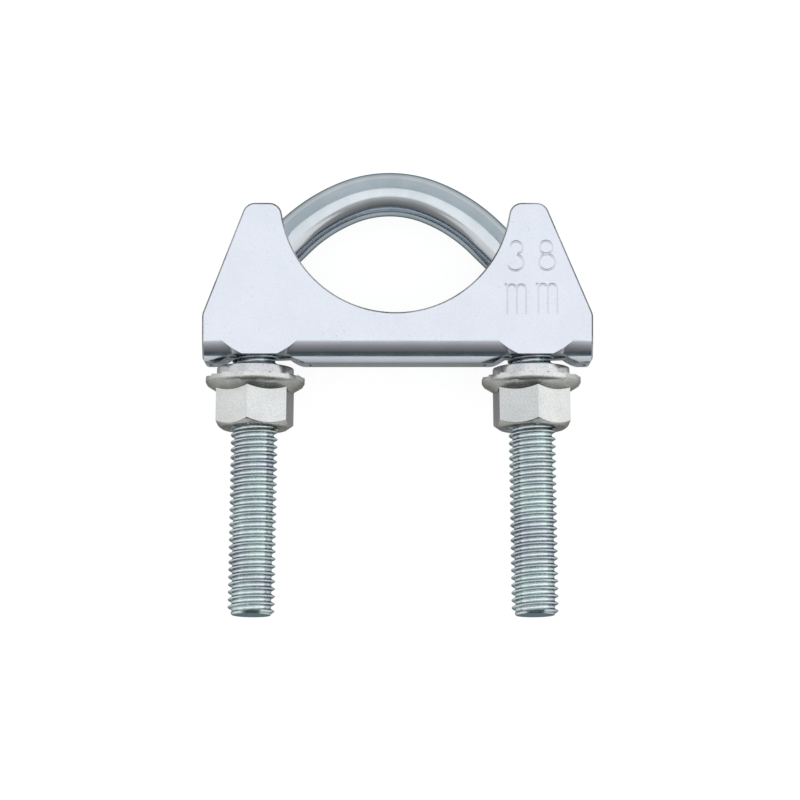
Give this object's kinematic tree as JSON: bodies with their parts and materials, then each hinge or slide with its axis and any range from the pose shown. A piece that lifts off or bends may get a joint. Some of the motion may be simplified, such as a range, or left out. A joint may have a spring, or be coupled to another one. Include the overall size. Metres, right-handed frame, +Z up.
{
  "type": "exhaust clamp",
  "caption": "U-bolt exhaust clamp: threaded bow, folded sheet saddle with a pipe cradle, serrated flange nuts and split spring washers, zinc plated, lying flat.",
  "frame": {"origin": "on the surface that the clamp lies on, under the middle of its bounding box", "axes": "+Z up, +Y from the ends of the legs towards the bow, +X to the right as seen from above"},
  "size_m": [0.0646, 0.0746, 0.0165],
  "materials": {
    "zinc_rod": "bright zinc plate, faintly blue, rolled threads",
    "zinc_sheet": "bright zinc plate on pressed sheet, satin",
    "zinc_nut": "zinc plate, satin silver",
    "spring_steel": "zinc plate, bright"
  },
  "bodies": {
    "u_bolt": {"u_bolt": "zinc_rod"},
    "saddle": {"saddle": "zinc_sheet"},
    "washer_left": {"spring_washer_left": "spring_steel"},
    "washer_right": {"spring_washer_right": "spring_steel"},
    "nut_left": {"nut_left": "zinc_nut"},
    "nut_right": {"nut_right": "zinc_nut"}
  },
  "joints": [
    {"name": "saddle_slide", "type": "slide", "parent": "u_bolt", "child": "saddle", "axis": [0, 0.9962, -0.0872], "range_m": [-0.0305, 0.003]},
    {"name": "washer_left_slide", "type": "slide", "parent": "u_bolt", "child": "washer_left", "axis": [0.0131, 0.9961, -0.0871], "range_m": [-0.0305, 0.003]},
    {"name": "washer_right_slide", "type": "slide", "parent": "u_bolt", "child": "washer_right", "axis": [-0.0131, 0.9961, -0.0871], "range_m": [-0.0305, 0.003]},
    {"name": "nut_left_turn", "type": "hinge", "parent": "washer_left", "child": "nut_left", "pos_m": [-0.02371, 0.00256, 0.00822], "axis": [0.0131, 0.9961, -0.0871], "range_deg": [-8640, 720]},
    {"name": "nut_right_turn", "type": "hinge", "parent": "washer_right", "child": "nut_right", "pos_m": [0.02225, 0.00256, 0.00822], "axis": [-0.0131, 0.9961, -0.0871], "range_deg": [-8640, 720]}
  ],
  "couplings": [
    {"joint": "nut_right_turn", "follows": "nut_left_turn", "ratio": 1},
    {"joint": "saddle_slide", "follows": "nut_left_turn", "m_per_rad": 0.00019894},
    {"joint": "washer_left_slide", "follows": "nut_left_turn", "m_per_rad": 0.00019894},
    {"joint": "washer_right_slide", "follows": "nut_left_turn", "m_per_rad": 0.00019894}
  ]
}
